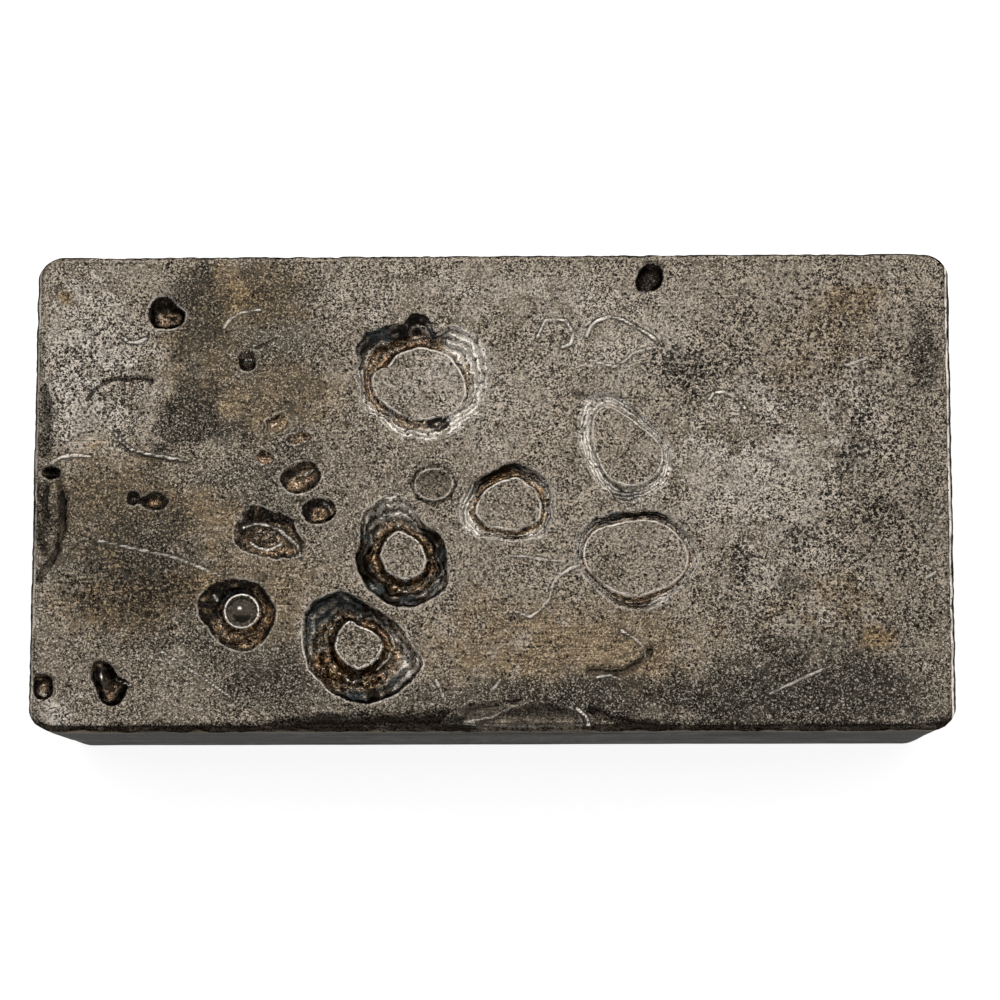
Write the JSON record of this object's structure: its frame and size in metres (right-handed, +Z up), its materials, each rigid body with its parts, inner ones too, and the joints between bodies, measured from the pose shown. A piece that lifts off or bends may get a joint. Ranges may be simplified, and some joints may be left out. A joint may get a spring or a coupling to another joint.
{
  "type": "metal ingot",
  "caption": "Hand-poured rectangular metal bar with leaning walls and rounded edges; its open face is pitted by burst gas blisters. Holds cast metal for storing, weighing or melting.",
  "frame": {"origin": "middle of the flat base, where the bar rests", "axes": "+X along the bar, +Y across it toward the back, +Z up through the pitted open face"},
  "size_m": [0.1368, 0.0724, 0.032],
  "materials": {
    "cast_metal": "satin"
  },
  "bodies": {
    "root": {"ingot": "cast_metal"}
  },
  "joints": []
}
